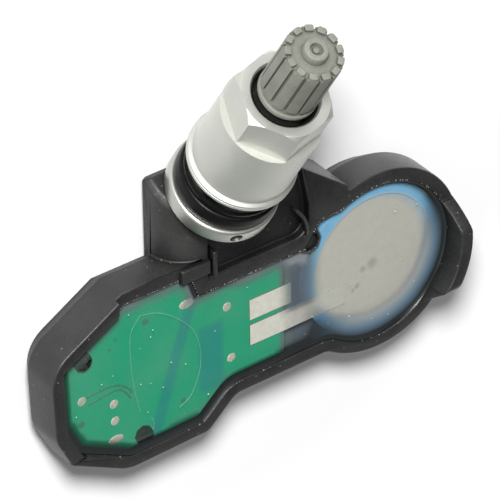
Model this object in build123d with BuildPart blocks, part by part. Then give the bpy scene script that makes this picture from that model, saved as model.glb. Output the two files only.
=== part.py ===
import os
from math import cos, pi, radians, sin, sqrt, tan

from build123d import *

os.makedirs("parts", exist_ok=True)

# Tyre pressure sensor on its back, open face up. x runs along the tray from the board lobe to
# the cell lobe, y to the valve tower, z out of the open face. The cell's axis stands on the origin.

# tray
wall = 2.1
cell_room = 0.65
rim_over = 0.5
floor_thickness = 1.4
back_bevel_in = 2.1
back_bevel_up = 3.2
board_end = 58.8
board_end_top = 6.0
board_end_kink = 6.4
board_end_kink_in = 0.5
board_end_slant = 3.5
board_end_low = 12.3
top_wall = 13.6
top_kink = 45.6
low_wall = 17.4
low_corner = 45.2
low_step = 30.8
waist_low = 12.0
waist_corner = 25.8
waist_slant = 0.5
corner_round = 2.2
low_round = 6.0
waist_round = 3.0

# raised lips at both ends of the rim
end_lip_height = 1.0
end_lip_start = 46.6
cell_lip_height = 3.6
cell_lip_low = 10.6
cell_lip_high = 5.8
cell_lip_ramp = 4.6
cell_lip_round = 1.6

# valve axis, square to the tray's length
valve_x = -27.15
valve_y = 22.95
valve_z = 7.2
valve_tilt = 33.4

# tower under the valve
tower_margin = 0.95
shoulder_turn = 38.0
tower_root = 8.4
tower_front_round = 5.6
tower_back_bevel = 1.3
tower_corner_bevel = 0.8
tower_foot_bevel = 2.8
shoulder_end_x = -5.0
shoulder_end_y = 15.4
recess_depth = 1.4
recess_low = 10.0
recess_left_reach = 3.05
recess_right_reach = 14.95
recess_round = 2.6
fin_width = 0.8
fin_length = 4.4
fin_height = 0.7
cavity_top_at_tower = 7.5
cavity_ramp_end = 8.4

# cell and its sleeve
cell_radius = 12.25
cell_height = 5.0
cell_under = 0.72
sleeve_thickness = 0.2
sleeve_fold = 1.75

# circuit board
board_rise = 0.08
board_thickness = 1.0
board_edge_gap = 0.5
board_right = -16.1
board_cut_top = 7.0
tab_thickness = 0.2
tab_width = 3.5
tab_gap = 0.9
tab_landing = 6.2
tab_drop_gap = 1.1
tab_reach = -5.0
tab_middle = -2.0

# small parts on the board
pad_height = 0.06
pad_size = 1.5
pad_sides = 8
pad_corner = 0.45
oval_pad_length = 2.6
oval_pad_spots = ((-33.4, 6.0), (-46.4, -12.2))
round_pad_spots = ((-52.2, -3.0), (-46.6, -5.9), (-46.5, -8.9), (-26.2, 2.4), (-25.6, -6.8))
chip_size = 7.0
chip_height = 2.1
chip_port_depth = 1.05
chip_x = -46.0
chip_y = -3.0
coil_length = 11.0
coil_width = 3.4
coil_height = 2.8
coil_x = -33.0
coil_y = -8.0
coil_end = 1.6
coil_relief = 0.3
coil_bevel = 0.4
crystal_length = 5.0
crystal_width = 3.2
crystal_height = 1.1
crystal_x = -36.0
crystal_y = 2.6
capacitor_length = 1.6
capacitor_width = 0.8
capacitor_row = -26.0
capacitor_pitch_x = 2.4
capacitor_pitch_y = 2.2

# pressure port in the back
port_radius = 0.8
port_boss_radius = 2.6
gasket_height = 0.4

# posts that hold the board
post_radius = 1.5
post_sides = 8
post_corner_x = -52.0
post_corner_y = 4.0
post_low_x = -41.6
post_low_y = -13.4
post_cell_gap = 0.42
post_cell_turn = 145.2

# resin
potting_cover = 0.8
potting_gap = 0.05

# valve stem, heights measured along the valve axis from the flange's seat
flange_radius = 8.35
flange_height = 2.9
shank_radius = 4.6
stem_thread_radius = 5.0
stem_thread_start = 12.2
stem_thread_end = 21.6
mouth_radius = 3.87
mouth_height = 39.8
core_bore = 2.4
tommy_radius = 0.95
tommy_depth = 3.4
tommy_angle = 252.5

# rubber seal and thrust washer
fit_gap = 0.05
seal_radius = 8.0
seal_height = 3.1
neck_radius = 5.6
neck_height = 12.0
washer_radius = 7.5
washer_height = 3.75

# collar nut
nut_base_radius = 8.26
nut_base_height = 1.4
barrel_radius = 7.68
hex_start = 13.9
hex_across = 13.0
hex_turn = 13.5
nut_height = 20.1
nut_top_radius = 6.7
nut_top_bevel = 1.0
nut_counterbore = 5.8
nut_counterbore_depth = 2.8

# dust ring in the nut's mouth
dust_ring_inner = 4.62
dust_ring_height = 1.6
dust_ring_depth = 0.6

# valve core
core_radius = 2.35
core_sink = 1.4
core_length = 15.0
pin_radius = 0.55
pin_reach = 1.1
pin_cup_radius = 1.5
pin_cup_height = 1.2

# cap
cap_height = 12.1
cap_flange_radius = 4.5
cap_flange_height = 1.0
cap_body_radius = 4.15
cap_rib_count = 13
cap_rib_radius = 4.36
cap_rib_gap = 0.6
cap_groove_depth = 0.34
cap_rib_drop = 0.9
cap_lug_depth = 0.9
cap_lug_width = 1.05
cap_top_thickness = 2.0
cap_boss_radius = 1.95
cap_boss_height = 1.4
cap_top_sink = 0.45
cap_seal_height = 0.4
cap_seal_gap = 0.3
cap_seal_edge = 0.17

# retaining screw
screw_radius = 1.95
screw_hole = 2.15
screw_head_radius = 2.8
screw_head_height = 2.4
screw_pocket = 3.0
screw_seat = 6.5
screw_reach = 2.6
screw_air = 0.75
screw_socket = 2.5
screw_socket_depth = 1.4

# lines that the pieces share
lean = radians(valve_tilt)
valve_dir = (0, cos(lean), sin(lean))
valve_base = (valve_x, valve_y, valve_z)
valve_axis = Axis(valve_base, valve_dir)
seat = Plane(origin=valve_base, x_dir=(1, 0, 0), z_dir=valve_dir)
turning = Plane(origin=valve_base, x_dir=(1, 0, 0), z_dir=(0, -sin(lean), cos(lean)))
seat_back = valve_y + valve_z * tan(lean)
sleeve_radius = cell_radius + sleeve_thickness
lobe_radius = sleeve_radius + cell_room + wall
waist_meet = -sqrt(lobe_radius**2 - waist_low**2)
cell_low = floor_thickness + cell_under
cell_top = cell_low + cell_height
board_top_z = cell_top + board_rise
board_low_z = board_top_z - board_thickness
potting_level = board_top_z + potting_cover
rim_height = potting_level + rim_over
chip_low = board_low_z - chip_height
port_boss_top = chip_low - gasket_height
post_cell_reach = sleeve_radius + post_cell_gap + post_radius
post_cell_x = post_cell_reach * cos(radians(post_cell_turn))
post_cell_y = post_cell_reach * sin(radians(post_cell_turn))
tab_left = board_right - tab_landing
tab_drop_x = board_right + tab_drop_gap
tab_top_y = tab_middle - tab_gap / 2 - tab_width / 2
tab_bottom_y = tab_middle + tab_gap / 2 + tab_width / 2
tower_left = flange_radius + tower_margin
recess_left = valve_x - recess_left_reach
recess_right = valve_x + recess_right_reach
shoulder_top_x = shoulder_end_x - (seat_back - shoulder_end_y) / tan(radians(shoulder_turn))
seal_top = flange_height + seal_height
washer_low = seal_top + fit_gap
nut_low = washer_low + washer_height
nut_top = nut_low + nut_height
nut_bore = stem_thread_radius + fit_gap
core_top = mouth_height - core_sink
core_low = core_top - core_length
pin_top = core_top + pin_reach
cap_ceiling = mouth_height + cap_seal_gap + cap_seal_height
cap_top = cap_ceiling + cap_top_thickness
cap_base = cap_top - cap_height
cap_deck = cap_top - cap_top_sink
cap_boss_top = cap_deck + cap_boss_height
cap_bore = mouth_radius + fit_gap


def corner(sketch, x, y):
    return sketch.vertices().sort_by_distance((x, y, 0))[0]


with BuildSketch() as outline:
    Circle(lobe_radius)
    with BuildLine():
        Polyline(
            (0, top_wall),
            (-top_kink, top_wall),
            (-board_end, board_end_top),
            (-board_end + board_end_kink_in, -board_end_kink),
            (-board_end + board_end_slant, -board_end_low),
            (-low_corner, -low_wall),
            (-low_step, -low_wall + waist_slant),
            (-waist_corner, -waist_low - waist_slant),
            (0, -waist_low),
            close=True,
        )
    make_face()
    fillet(corner(outline, -board_end, board_end_top), corner_round)
    fillet(corner(outline, -board_end + board_end_kink_in, -board_end_kink), low_round)
    fillet(corner(outline, -board_end + board_end_slant, -board_end_low), corner_round)
    fillet(corner(outline, -low_corner, -low_wall), low_round)
    fillet(corner(outline, -low_step, -low_wall + waist_slant), corner_round)
    fillet(corner(outline, -waist_corner, -waist_low - waist_slant), waist_round)
    fillet(corner(outline, waist_meet, -waist_low), waist_round)

with BuildSketch() as inner_outline:
    add(outline.sketch)
    offset(amount=-wall, mode=Mode.REPLACE)

with BuildSketch() as cavity_outline:
    add(inner_outline.sketch)
    with BuildLine():
        Polyline(
            (valve_x - tower_left + wall, top_wall),
            (valve_x - tower_left + 2 * wall, cavity_top_at_tower),
            (-lobe_radius + wall, cavity_top_at_tower),
            (-cavity_ramp_end, top_wall),
            close=True,
        )
    make_face(mode=Mode.SUBTRACT)

with BuildSketch() as board_outline:
    add(cavity_outline.sketch)
    offset(amount=-board_edge_gap, kind=Kind.INTERSECTION, mode=Mode.REPLACE)
    with BuildLine():
        Polyline(
            (-board_end, -low_wall),
            (board_right, -low_wall),
            (board_right, board_cut_top),
            (valve_x - tower_left, top_wall),
            (-board_end, top_wall),
            close=True,
        )
    make_face(mode=Mode.INTERSECT)

with BuildPart() as tower:
    with BuildSketch():
        with BuildLine():
            Polyline(
                (valve_x - tower_left, tower_root),
                (valve_x - tower_left, seat_back),
                (shoulder_top_x, seat_back),
                (shoulder_end_x, shoulder_end_y),
                (shoulder_end_x, tower_root),
                close=True,
            )
        make_face()
    extrude(amount=rim_height)
    with BuildSketch(seat):
        Rectangle(8 * tower_left, 8 * tower_left)
    extrude(amount=4 * tower_left, mode=Mode.SUBTRACT)
    left_edges = tower.edges().filter_by(Axis.Y).group_by(Axis.X)[0]
    fillet(left_edges.sort_by(Axis.Z)[-1], tower_front_round)
    left_edges = tower.edges().filter_by(Axis.Y).group_by(Axis.X)[0]
    chamfer(left_edges.sort_by(Axis.Z)[0], tower_back_bevel)
    seat_face = tower.faces().sort_by(valve_axis)[-1]
    chamfer(seat_face.edges().sort_by(Axis.X)[0], tower_corner_bevel)
    with BuildSketch(Plane.YZ):
        with BuildLine():
            Polyline(
                (seat_back - tower_foot_bevel, 0),
                (seat_back - tower_foot_bevel * sin(lean), tower_foot_bevel * cos(lean)),
                (seat_back + tower_foot_bevel, tower_foot_bevel * cos(lean)),
                (seat_back + tower_foot_bevel, -tower_foot_bevel),
                (seat_back - tower_foot_bevel, -tower_foot_bevel),
                close=True,
            )
        make_face()
    extrude(amount=8 * tower_left, both=True, mode=Mode.SUBTRACT)

with BuildPart() as board_lip:
    with BuildSketch(Plane.XY.offset(rim_height)):
        add(outline.sketch)
        add(inner_outline.sketch, mode=Mode.SUBTRACT)
        with BuildLine():
            Polyline(
                (-end_lip_start, 2 * top_wall),
                (-2 * board_end, 2 * top_wall),
                (-2 * board_end, -board_end_low - wall),
                (-board_end + board_end_slant + wall, -board_end_low + wall / 2),
                (-end_lip_start, 0),
                close=True,
            )
        make_face(mode=Mode.INTERSECT)
    extrude(amount=end_lip_height)

with BuildPart() as cell_lip:
    with BuildSketch(Plane.XY.offset(rim_height)):
        Circle(lobe_radius)
        Circle(lobe_radius - wall, mode=Mode.SUBTRACT)
    extrude(amount=cell_lip_height)
    with BuildSketch(Plane.YZ) as lip_side:
        with BuildLine():
            Polyline(
                (-cell_lip_low, floor_thickness),
                (-cell_lip_low, rim_height),
                (-cell_lip_low + cell_lip_ramp / 2, rim_height + cell_lip_height),
                (cell_lip_high - cell_lip_ramp, rim_height + cell_lip_height),
                (cell_lip_high, rim_height),
                (cell_lip_high, floor_thickness),
                close=True,
            )
        make_face()
        fillet(lip_side.vertices().group_by(Axis.Z)[-1], cell_lip_round)
    extrude(amount=2 * lobe_radius, mode=Mode.INTERSECT)

with BuildPart() as housing:
    with BuildSketch():
        add(outline.sketch)
    extrude(amount=rim_height)
    back = housing.faces().sort_by(Axis.Z)[0]
    chamfer(back.edges(), back_bevel_in, back_bevel_up, reference=back)
    add(tower.part)
    with BuildSketch(Plane.XY.offset(rim_height)) as recess:
        with BuildLine():
            Polyline(
                (recess_left, recess_low),
                (recess_right, recess_low),
                (recess_right, recess_low + 2 * recess_round),
                (valve_x + flange_radius, 2 * seat_back),
                (recess_left, 2 * seat_back),
                close=True,
            )
        make_face()
        fillet(corner(recess, recess_right, recess_low), recess_round)
    extrude(amount=-recess_depth, mode=Mode.SUBTRACT)
    with Locations((recess_left + fin_width, recess_low + fin_length / 2, rim_height - recess_depth)):
        Box(fin_width, fin_length, recess_depth + fin_height, align=(Align.CENTER, Align.CENTER, Align.MIN))
    with BuildSketch(Plane.XY.offset(floor_thickness)):
        add(cavity_outline.sketch)
    extrude(amount=rim_height, mode=Mode.SUBTRACT)
    add(board_lip.part)
    add(cell_lip.part)
    with BuildSketch(Plane.XY.offset(floor_thickness)):
        with Locations((post_corner_x, post_corner_y), (post_low_x, post_low_y), (post_cell_x, post_cell_y)):
            RegularPolygon(post_radius, post_sides)
    extrude(amount=potting_level - floor_thickness)
    with BuildSketch(Plane.XY.offset(floor_thickness)):
        with Locations((chip_x, chip_y)):
            RegularPolygon(port_boss_radius, post_sides)
    extrude(amount=port_boss_top - floor_thickness)
    with BuildSketch():
        with Locations((chip_x, chip_y)):
            Circle(port_radius)
    extrude(amount=port_boss_top, mode=Mode.SUBTRACT)
    with BuildSketch(seat):
        Circle(screw_hole)
    extrude(amount=-screw_seat, mode=Mode.SUBTRACT)
    with BuildSketch(seat.offset(-screw_seat)):
        Circle(screw_pocket)
    extrude(amount=-3 * screw_seat, mode=Mode.SUBTRACT)
housing.part.label = "housing"
export_step(housing.part, "parts/housing.step")

with BuildPart() as circuit_board:
    with BuildSketch(Plane.XY.offset(board_low_z)):
        add(board_outline.sketch)
        with Locations((post_corner_x, post_corner_y), (post_low_x, post_low_y)):
            RegularPolygon(post_radius + potting_gap, post_sides, mode=Mode.SUBTRACT)
    extrude(amount=board_thickness)
circuit_board.part.label = "circuit_board"
export_step(circuit_board.part, "parts/circuit_board.step")

with BuildPart() as test_pads:
    with BuildSketch(Plane.XY.offset(board_top_z)) as pads:
        with Locations(*oval_pad_spots):
            Rectangle(oval_pad_length, pad_size)
        chamfer(pads.vertices(), pad_corner)
        with Locations(*round_pad_spots):
            RegularPolygon(pad_size / 2, pad_sides)
    extrude(amount=pad_height)
test_pads.part.label = "test_pads"
export_step(test_pads.part, "parts/test_pads.step")

with BuildPart() as sensor_chip:
    with BuildSketch(Plane.XY.offset(chip_low)):
        with Locations((chip_x, chip_y)):
            Rectangle(chip_size, chip_size)
            Circle(port_radius, mode=Mode.SUBTRACT)
    extrude(amount=chip_port_depth)
    with BuildSketch(Plane.XY.offset(chip_low + chip_port_depth)):
        with Locations((chip_x, chip_y)):
            Rectangle(chip_size, chip_size)
    extrude(amount=chip_height - chip_port_depth)
sensor_chip.part.label = "sensor_chip"
export_step(sensor_chip.part, "parts/sensor_chip.step")

with BuildPart() as port_gasket:
    with BuildSketch(Plane.XY.offset(port_boss_top)):
        with Locations((chip_x, chip_y)):
            RegularPolygon(port_boss_radius - fit_gap, post_sides)
            Circle(port_radius, mode=Mode.SUBTRACT)
    extrude(amount=gasket_height)
port_gasket.part.label = "port_gasket"
export_step(port_gasket.part, "parts/port_gasket.step")

with BuildPart() as crystal:
    with BuildSketch(Plane.XY.offset(board_low_z)):
        with Locations((crystal_x, crystal_y)):
            Rectangle(crystal_length, crystal_width)
    extrude(amount=-crystal_height)
crystal.part.label = "crystal"
export_step(crystal.part, "parts/crystal.step")

with BuildPart() as lf_coil:
    with BuildSketch(Plane.XY.offset(board_low_z)):
        with Locations((coil_x, coil_y)):
            Rectangle(coil_length, coil_width)
    extrude(amount=-coil_height)
    chamfer(lf_coil.edges().filter_by(Axis.X), coil_bevel)
    with BuildSketch(Plane.XY.offset(board_low_z)):
        with Locations((coil_x, coil_y)):
            Rectangle(coil_length - 2 * coil_end, coil_width)
    extrude(amount=-coil_relief, mode=Mode.SUBTRACT)
lf_coil.part.label = "lf_coil"
export_step(lf_coil.part, "parts/lf_coil.step")

with BuildPart() as chip_capacitors:
    with BuildSketch(Plane.XY.offset(board_low_z)):
        with Locations((capacitor_row, 0)):
            with GridLocations(capacitor_pitch_x, capacitor_pitch_y, 2, 3):
                Rectangle(capacitor_length, capacitor_width)
    extrude(amount=-capacitor_width)
chip_capacitors.part.label = "chip_capacitors"
export_step(chip_capacitors.part, "parts/chip_capacitors.step")

with BuildPart() as battery_cell:
    with BuildSketch(Plane.XY.offset(cell_low)):
        Circle(cell_radius)
    extrude(amount=cell_height)
battery_cell.part.label = "battery_cell"
export_step(battery_cell.part, "parts/battery_cell.step")

with BuildPart() as battery_sleeve:
    with BuildSketch(Plane.XY.offset(cell_low)):
        Circle(sleeve_radius)
    extrude(amount=cell_height + sleeve_thickness)
    add(battery_cell.part, mode=Mode.SUBTRACT)
    with BuildSketch(Plane.XY.offset(cell_top)):
        Circle(cell_radius - sleeve_fold)
        with Locations((tab_reach, tab_top_y)):
            Rectangle(cell_radius, tab_width + 2 * fit_gap, align=(Align.MAX, Align.CENTER))
    extrude(amount=sleeve_thickness, mode=Mode.SUBTRACT)
battery_sleeve.part.label = "battery_sleeve"
export_step(battery_sleeve.part, "parts/battery_sleeve.step")

with BuildPart() as battery_tab_top:
    with BuildSketch(Plane.XZ.offset(-tab_top_y - tab_width / 2)):
        with BuildLine():
            Polyline(
                (tab_left, board_top_z),
                (board_right, board_top_z),
                (-sleeve_radius - sleeve_thickness, cell_top),
                (tab_reach, cell_top),
                (tab_reach, cell_top + tab_thickness),
                (-sleeve_radius - sleeve_thickness, cell_top + tab_thickness),
                (board_right, board_top_z + tab_thickness),
                (tab_left, board_top_z + tab_thickness),
                close=True,
            )
        make_face()
    extrude(amount=tab_width)
battery_tab_top.part.label = "battery_tab_top"
export_step(battery_tab_top.part, "parts/battery_tab_top.step")

with BuildPart() as battery_tab_bottom:
    with BuildSketch(Plane.XZ.offset(-tab_bottom_y - tab_width / 2)):
        with BuildLine():
            Polyline(
                (tab_left, board_top_z),
                (tab_drop_x, board_top_z),
                (tab_drop_x, cell_low - tab_thickness),
                (tab_reach, cell_low - tab_thickness),
                (tab_reach, cell_low),
                (tab_drop_x + tab_thickness, cell_low),
                (tab_drop_x + tab_thickness, board_top_z + tab_thickness),
                (tab_left, board_top_z + tab_thickness),
                close=True,
            )
        make_face()
    extrude(amount=tab_width)
battery_tab_bottom.part.label = "battery_tab_bottom"
export_step(battery_tab_bottom.part, "parts/battery_tab_bottom.step")

with BuildPart() as potting:
    with BuildSketch(Plane.XY.offset(board_low_z)):
        add(cavity_outline.sketch)
        offset(amount=-potting_gap, mode=Mode.REPLACE)
        with Locations((post_corner_x, post_corner_y), (post_low_x, post_low_y), (post_cell_x, post_cell_y)):
            RegularPolygon(post_radius + potting_gap, post_sides, mode=Mode.SUBTRACT)
    extrude(amount=potting_level - board_low_z)
    with BuildSketch(Plane.XY.offset(board_low_z)):
        Circle(sleeve_radius + potting_gap)
    extrude(amount=cell_top + sleeve_thickness + potting_gap - board_low_z, mode=Mode.SUBTRACT)
    add(circuit_board.part, mode=Mode.SUBTRACT)
    add(test_pads.part, mode=Mode.SUBTRACT)
    add(battery_tab_top.part, mode=Mode.SUBTRACT)
    add(battery_tab_bottom.part, mode=Mode.SUBTRACT)
potting.part.label = "potting"
export_step(potting.part, "parts/potting.step")

with BuildPart() as valve_stem:
    with BuildSketch(turning):
        with BuildLine():
            Polyline(
                (0, 0),
                (flange_radius, 0),
                (flange_radius, flange_height),
                (shank_radius, flange_height),
                (shank_radius, stem_thread_start),
                (stem_thread_radius, stem_thread_start),
                (stem_thread_radius, stem_thread_end),
                (mouth_radius, stem_thread_end),
                (mouth_radius, mouth_height),
                (0, mouth_height),
                close=True,
            )
        make_face()
    revolve(axis=valve_axis)
    with BuildSketch(turning):
        with BuildLine():
            Polyline(
                (0, 0),
                (screw_radius + fit_gap, 0),
                (screw_radius + fit_gap, screw_reach + fit_gap),
                (core_bore, screw_reach + fit_gap),
                (core_bore, mouth_height),
                (0, mouth_height),
                close=True,
            )
        make_face()
    revolve(axis=valve_axis, mode=Mode.SUBTRACT)
    bar_dir = Vector(cos(radians(tommy_angle)), sin(radians(tommy_angle)), 0)
    bar_height = Vector(0, 0, flange_height / 2)
    bar_start = seat.from_local_coords(bar_dir * (flange_radius - tommy_depth) + bar_height)
    bar_end = seat.from_local_coords(bar_dir * (flange_radius + tommy_radius) + bar_height)
    with BuildSketch(Plane(origin=bar_start, z_dir=bar_end - bar_start)):
        Circle(tommy_radius)
    extrude(amount=tommy_depth + tommy_radius, mode=Mode.SUBTRACT)
valve_stem.part.label = "valve_stem"
export_step(valve_stem.part, "parts/valve_stem.step")

with BuildPart() as seal_grommet:
    with BuildSketch(turning) as seal_half:
        with BuildLine():
            Polyline(
                (shank_radius + fit_gap, flange_height),
                (seal_radius, flange_height),
                (seal_radius, seal_top),
                (neck_radius, seal_top),
                (neck_radius, neck_height),
                (shank_radius + fit_gap, neck_height),
                close=True,
            )
        make_face()
    revolve(axis=valve_axis)
seal_grommet.part.label = "seal_grommet"
export_step(seal_grommet.part, "parts/seal_grommet.step")

with BuildPart() as thrust_washer:
    with BuildSketch(seat.offset(washer_low)):
        Circle(washer_radius)
        Circle(neck_radius + 2 * fit_gap, mode=Mode.SUBTRACT)
    extrude(amount=washer_height)
thrust_washer.part.label = "thrust_washer"
export_step(thrust_washer.part, "parts/thrust_washer.step")

with BuildPart() as collar_nut:
    with BuildSketch(turning):
        with BuildLine():
            Polyline(
                (nut_bore, nut_low),
                (nut_base_radius, nut_low),
                (nut_base_radius, nut_low + nut_base_height),
                (barrel_radius, nut_low + nut_base_height),
                (barrel_radius, nut_top - nut_top_bevel),
                (nut_top_radius, nut_top),
                (nut_bore, nut_top),
                close=True,
            )
        make_face()
    revolve(axis=valve_axis)
    with BuildSketch(seat.offset(nut_low + hex_start)):
        Circle(2 * barrel_radius)
        RegularPolygon(hex_across / 2, 6, major_radius=False, rotation=hex_turn, mode=Mode.SUBTRACT)
    extrude(amount=nut_height, mode=Mode.SUBTRACT)
    with BuildSketch(seat.offset(nut_low)):
        Circle(nut_counterbore)
    extrude(amount=nut_counterbore_depth, mode=Mode.SUBTRACT)
collar_nut.part.label = "collar_nut"
export_step(collar_nut.part, "parts/collar_nut.step")

with BuildPart() as dust_ring:
    with BuildSketch(seat.offset(nut_top - dust_ring_depth)):
        Circle(nut_bore)
        Circle(dust_ring_inner, mode=Mode.SUBTRACT)
    extrude(amount=-dust_ring_height)
dust_ring.part.label = "dust_ring"
export_step(dust_ring.part, "parts/dust_ring.step")

with BuildPart() as valve_core:
    with BuildSketch(turning):
        with BuildLine():
            Polyline(
                (pin_radius + fit_gap, core_low),
                (core_radius, core_low),
                (core_radius, core_top),
                (pin_radius + fit_gap, core_top),
                close=True,
            )
        make_face()
    revolve(axis=valve_axis)
valve_core.part.label = "valve_core"
export_step(valve_core.part, "parts/valve_core.step")

with BuildPart() as core_pin:
    with BuildSketch(turning):
        with BuildLine():
            Polyline(
                (0, core_low - pin_cup_height),
                (pin_cup_radius, core_low - pin_cup_height),
                (pin_cup_radius, core_low - fit_gap),
                (pin_radius, core_low - fit_gap),
                (pin_radius, pin_top),
                (0, pin_top),
                close=True,
            )
        make_face()
    revolve(axis=valve_axis)
core_pin.part.label = "core_pin"
export_step(core_pin.part, "parts/core_pin.step")

with BuildPart() as valve_cap:
    with BuildSketch(turning):
        with BuildLine():
            Polyline(
                (0, cap_base),
                (cap_flange_radius, cap_base),
                (cap_flange_radius, cap_base + cap_flange_height),
                (cap_body_radius, cap_base + cap_flange_height),
                (cap_body_radius, cap_deck),
                (cap_boss_radius, cap_deck),
                (cap_boss_radius, cap_boss_top),
                (0, cap_boss_top),
                close=True,
            )
        make_face()
    revolve(axis=valve_axis)
    with BuildSketch(seat.offset(cap_base + cap_flange_height + cap_rib_drop)):
        RegularPolygon(cap_rib_radius, cap_rib_count, major_radius=False)
        with PolarLocations(cap_rib_radius / cos(pi / cap_rib_count), cap_rib_count):
            Rectangle(2 * cap_groove_depth, cap_rib_gap, mode=Mode.SUBTRACT)
    extrude(amount=cap_deck - cap_base - cap_flange_height - cap_rib_drop)
    with BuildSketch(seat.offset(cap_deck)):
        with PolarLocations(cap_rib_radius, cap_rib_count, start_angle=180 / cap_rib_count):
            Rectangle(cap_lug_depth, cap_lug_width, align=(Align.MAX, Align.CENTER))
    extrude(amount=cap_top_sink)
    with BuildSketch(seat.offset(cap_base)):
        Circle(cap_bore)
    extrude(amount=cap_ceiling - cap_base, mode=Mode.SUBTRACT)
valve_cap.part.label = "valve_cap"
export_step(valve_cap.part, "parts/valve_cap.step")

with BuildPart() as cap_seal:
    with BuildSketch(seat.offset(cap_ceiling)):
        Circle(cap_bore - cap_seal_edge)
    extrude(amount=-cap_seal_height)
cap_seal.part.label = "cap_seal"
export_step(cap_seal.part, "parts/cap_seal.step")

with BuildPart() as retaining_screw:
    with BuildSketch(seat.offset(-screw_seat)):
        Circle(screw_radius)
    extrude(amount=screw_seat + screw_reach)
    with BuildSketch(seat.offset(-screw_seat)):
        Circle(screw_head_radius)
    extrude(amount=-screw_head_height)
    with BuildSketch(seat.offset(-screw_seat - screw_head_height)):
        Circle(screw_air)
    extrude(amount=screw_seat + screw_head_height + screw_reach, mode=Mode.SUBTRACT)
    with BuildSketch(seat.offset(-screw_seat - screw_head_height)):
        RegularPolygon(screw_socket / 2, 6, major_radius=False)
    extrude(amount=screw_socket_depth, mode=Mode.SUBTRACT)
retaining_screw.part.label = "retaining_screw"
export_step(retaining_screw.part, "parts/retaining_screw.step")
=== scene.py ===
import bmesh
import bpy
import math
import random
from mathutils import Matrix, Vector, noise
from mathutils.geometry import delaunay_2d_cdt
from mathutils.kdtree import KDTree


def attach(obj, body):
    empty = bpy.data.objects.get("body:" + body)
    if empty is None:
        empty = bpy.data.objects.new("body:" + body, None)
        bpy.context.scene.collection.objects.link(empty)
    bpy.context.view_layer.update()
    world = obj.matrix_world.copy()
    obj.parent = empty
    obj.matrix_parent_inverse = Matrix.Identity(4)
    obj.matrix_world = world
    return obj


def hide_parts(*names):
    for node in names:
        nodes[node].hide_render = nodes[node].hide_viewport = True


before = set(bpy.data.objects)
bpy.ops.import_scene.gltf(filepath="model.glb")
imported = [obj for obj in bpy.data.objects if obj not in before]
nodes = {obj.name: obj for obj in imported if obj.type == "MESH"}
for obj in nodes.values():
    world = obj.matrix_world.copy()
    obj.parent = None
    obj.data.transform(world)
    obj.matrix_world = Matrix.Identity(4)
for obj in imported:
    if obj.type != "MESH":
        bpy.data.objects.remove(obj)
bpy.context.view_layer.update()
scene = bpy.context.scene
mm = 0.001
weldGap = 0.002 * mm
smooth = {"interpolation_type": "SMOOTHSTEP"}
print("frame in:", len(nodes), "nodes")

# the valve leans over the tray: its pieces are drawn upright, then laid along this line
valveLine = {"foot": (-27.15, 22.95, 7.2), "lean": 33.4}   # mm, degrees
valveFoot = Vector(valveLine["foot"]) * mm
valveTurn = math.radians(valveLine["lean"] - 90)
valvePlace = Matrix.Translation(valveFoot) @ Matrix.Rotation(valveTurn, 4, "X")


# sRGB hex to linear colour
def linear(hexText):
    parts = [int(hexText[i:i + 2], 16) / 255 for i in (1, 3, 5)]
    return tuple(c / 12.92 if c <= 0.04045 else ((c + 0.055) / 1.055) ** 2.4 for c in parts) + (1.0,)


# constants, hex colours and links into a node; a node as a value means its first active output
def feed(node, inputs):
    for key, value in inputs.items():
        if isinstance(value, bpy.types.Node):
            value = next(socket for socket in value.outputs if socket.enabled)
        if isinstance(value, bpy.types.NodeSocket):
            node.id_data.links.new(value, node.inputs[key])
        elif isinstance(value, str) and value.startswith("#"):
            node.inputs[key].default_value = linear(value)
        else:
            node.inputs[key].default_value = value


# one node with its settings, constants and links
def addNode(tree, kind, inputs=None, **settings):
    made = tree.nodes.new(kind if "Node" in kind else "ShaderNode" + kind)
    for key, value in settings.items():
        setattr(made, key, value)
    feed(made, inputs or {})
    return made


def bareTree(owner):
    owner.use_nodes = True
    owner.node_tree.nodes.clear()
    return owner.node_tree


def startMaterial(name, sockets):
    material = bpy.data.materials.new(name)
    tree = bareTree(material)
    shader = addNode(tree, "BsdfPrincipled", sockets)
    addNode(tree, "OutputMaterial", {"Surface": shader})
    return material, tree, shader, addNode(tree, "TexCoord").outputs["Object"]


# a two-colour pattern with bump, for finishes that differ only in colour, grain and gloss
def grainMaterial(name, colours, grain, rough, sockets, depth=0.02, broad=4.0):
    material, tree, shader, place = startMaterial(name, sockets)
    fine = addNode(tree, "TexNoise", {"Vector": place, "Scale": 1 / (grain * mm), "Detail": 3.0})
    wide = addNode(tree, "TexNoise", {"Vector": place, "Scale": 1 / (broad * mm), "Detail": 2.0})
    both = addNode(tree, "Math", {0: fine, 1: wide}, operation="ADD")
    tone = addNode(tree, "MapRange", {"Value": both, "From Min": 0.7, "From Max": 1.3})
    mix = addNode(tree, "Mix", {0: tone, 6: colours[0], 7: colours[1]}, data_type="RGBA")
    gloss = addNode(tree, "MapRange", {"Value": fine, "From Min": 0.3, "From Max": 0.7,
            "To Min": rough[0], "To Max": rough[1]})
    bump = addNode(tree, "Bump", {"Strength": 0.6, "Distance": depth * mm, "Height": fine})
    feed(shader, {"Base Color": mix, "Roughness": gloss, "Normal": bump})
    return material


# painted shade: darker, and with a sheen given also duller, in creases and beside what stands close, worked out by an
# occlusion node
def shadeCreases(material, reach, darkest, sheen=None):
    tree = material.node_tree
    shader = next(node for node in tree.nodes if node.type == "BSDF_PRINCIPLED")
    colour = shader.inputs["Base Color"].links[0].from_socket
    crease = addNode(tree, "AmbientOcclusion", {"Distance": reach * mm}, samples=8)
    clear = addNode(tree, "Math", {0: crease.outputs["AO"], 1: 1.6}, operation="POWER")
    shaded = addNode(tree, "Mix", {0: clear, 6: darkest, 7: colour}, data_type="RGBA")
    feed(shader, {"Base Color": shaded})
    if sheen:
        dulled = addNode(tree, "Math", {0: clear, 1: sheen}, operation="MULTIPLY")
        feed(shader, {"Specular IOR Level": dulled})


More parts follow.
